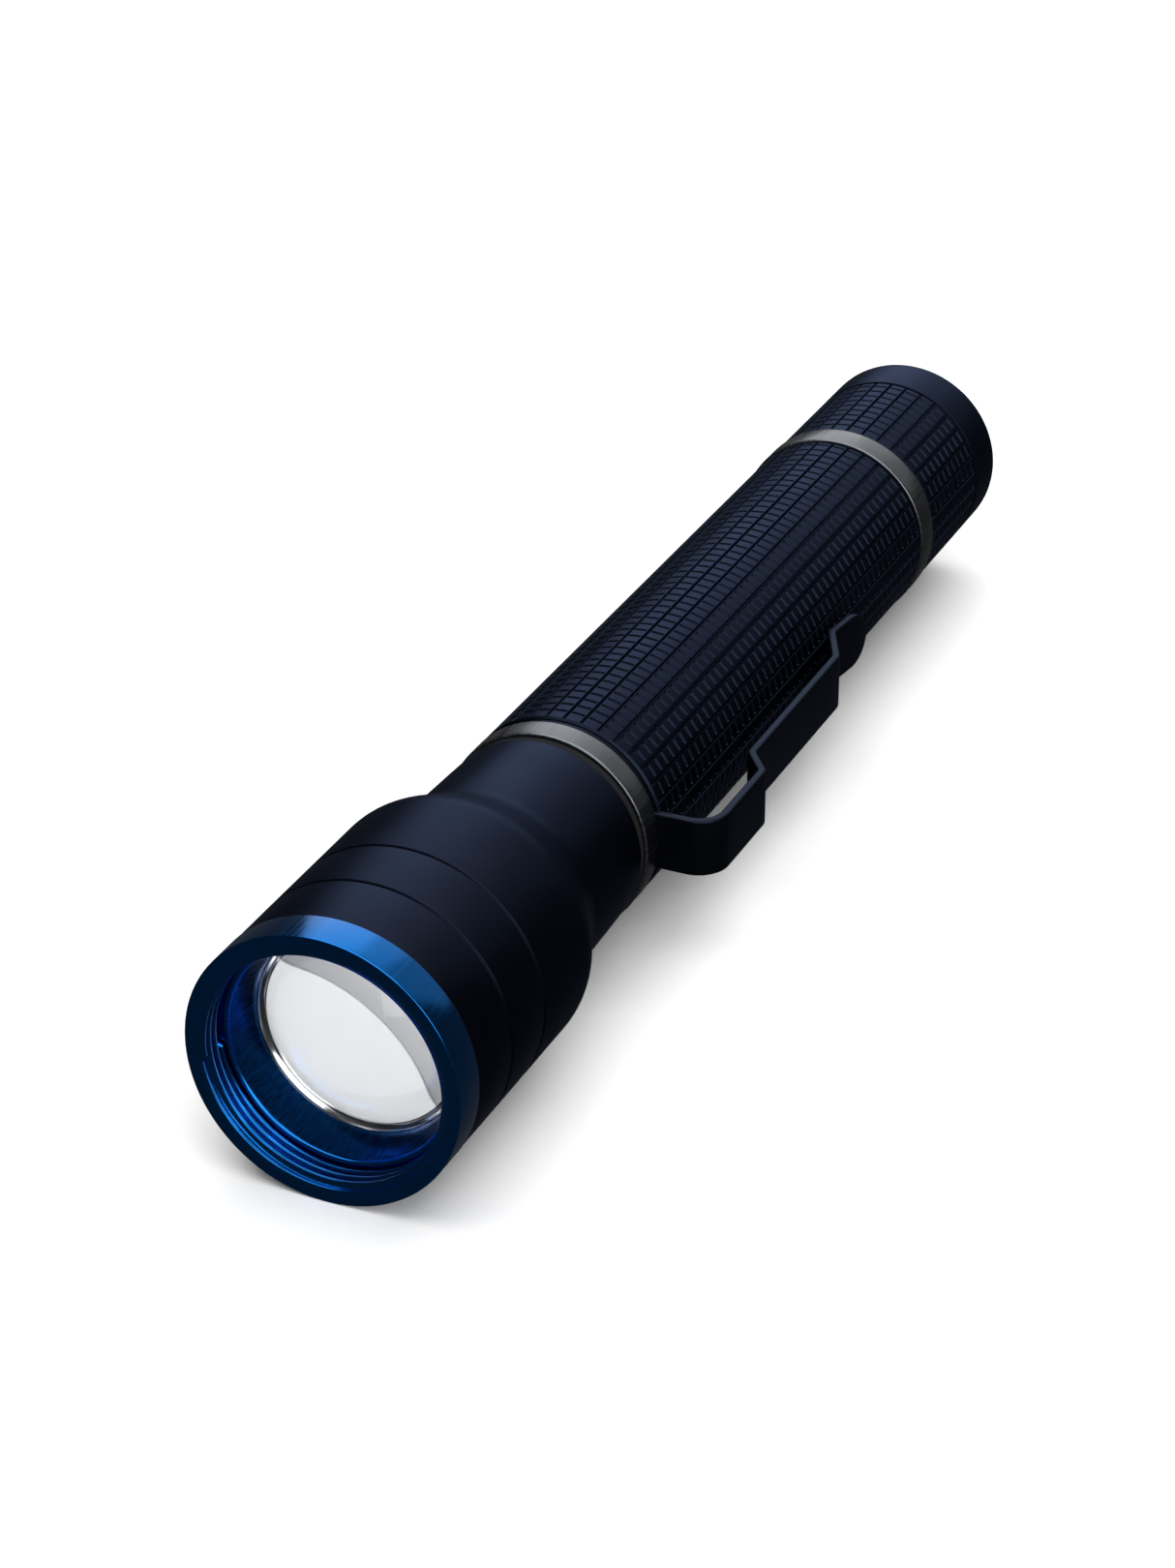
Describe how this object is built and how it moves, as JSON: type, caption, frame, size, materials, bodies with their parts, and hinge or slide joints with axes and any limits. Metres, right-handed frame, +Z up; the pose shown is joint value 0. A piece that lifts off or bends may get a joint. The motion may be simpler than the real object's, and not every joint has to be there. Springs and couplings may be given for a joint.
{
  "type": "tactical flashlight",
  "caption": "Zoom-focus tactical flashlight: ribbed one-inch tube, flared head with blue threaded bezel and domed lens, side pocket clip and rubber tail switch.",
  "frame": {"origin": "centre of the bezel's mouth, on the axis, in the plane of the bezel's front face", "axes": "+Y runs along the axis from the bezel to the tail, +X points to the pocket clip, +Z is up with the light lying down"},
  "size_m": [0.0361, 0.176, 0.0324],
  "materials": {
    "navy_anodised": "satin dark navy hard anodising",
    "blue_anodised": "turned and anodised bright blue",
    "bright_steel": "fine turned finish",
    "chrome_trim": "polished",
    "clip_steel": "satin black coated spring steel",
    "lens_glass": "clear polished",
    "black_rubber": "matt",
    "neck_black": "satin black anodising",
    "bare_aluminium": "plain turned",
    "bare_brass": "plain turned",
    "white_board": "white solder mask",
    "led_phosphor": "silicone over phosphor",
    "white_plastic": "moulded",
    "red_wire": "insulated lead",
    "black_wire": "insulated lead",
    "green_board": "green solder mask",
    "spring_gold": "gold plated spring wire",
    "cell_wrap": "shrink sleeve",
    "plain_steel": "plain",
    "black_plastic": "moulded",
    "ivory_plastic": "moulded"
  },
  "bodies": {
    "body": {"neck_tube": "neck_black", "stop_ring": "plain_steel", "focus_oring_front": "black_rubber", "focus_oring_rear": "black_rubber", "neck_bumper": "black_rubber", "led_pill": "bare_aluminium", "led_board": "white_board", "led_emitter": "led_phosphor", "led_centring_ring": "white_plastic", "led_wire_red": "red_wire", "led_wire_black": "black_wire", "driver_board": "green_board", "driver_spring": "spring_gold", "front_ring": "bright_steel", "clip_collar": "clip_steel", "battery_tube": "navy_anodised", "cell_front": "cell_wrap", "cell_middle": "cell_wrap", "cell_rear": "cell_wrap", "rear_ring": "bright_steel", "tail_oring": "black_rubber"},
    "head": {"bezel_ring": "blue_anodised", "lens_retainer": "chrome_trim", "lens": "lens_glass", "lens_seal": "black_rubber", "head_shell": "navy_anodised"},
    "clip": {"clip_blade": "clip_steel"},
    "cap_slide": {"tail_spring": "spring_gold"},
    "cap": {"tail_cap": "navy_anodised", "switch_retainer": "bare_brass", "switch_board": "green_board", "switch_body": "black_plastic", "boot_washer": "plain_steel"},
    "button": {"switch_plunger": "ivory_plastic", "switch_boot": "black_rubber"}
  },
  "joints": [
    {"name": "focus_slide", "type": "slide", "parent": "body", "child": "head", "axis": [0, -1, 0], "range_m": [0, 0.01]},
    {"name": "clip_flex", "type": "hinge", "parent": "body", "child": "clip", "pos_m": [0.01595, 0.06335, 0], "axis": [0, 0, -1], "range_deg": [0, 4], "stiffness_Nm_per_rad": 5},
    {"name": "cap_travel", "type": "slide", "parent": "body", "child": "cap_slide", "axis": [0, 1, 0], "range_m": [0, 0.008]},
    {"name": "cap_turn", "type": "hinge", "parent": "cap_slide", "child": "cap", "pos_m": [0, 0.16, 0], "axis": [0, 1, 0], "range_deg": [0, 2880]},
    {"name": "button_press", "type": "slide", "parent": "cap", "child": "button", "axis": [0, -1, 0], "range_m": [0, 0.0015], "stiffness_N_per_m": 2500}
  ],
  "couplings": [
    {"joint": "cap_travel", "follows": "cap_turn", "m_per_rad": 0.00015915}
  ]
}
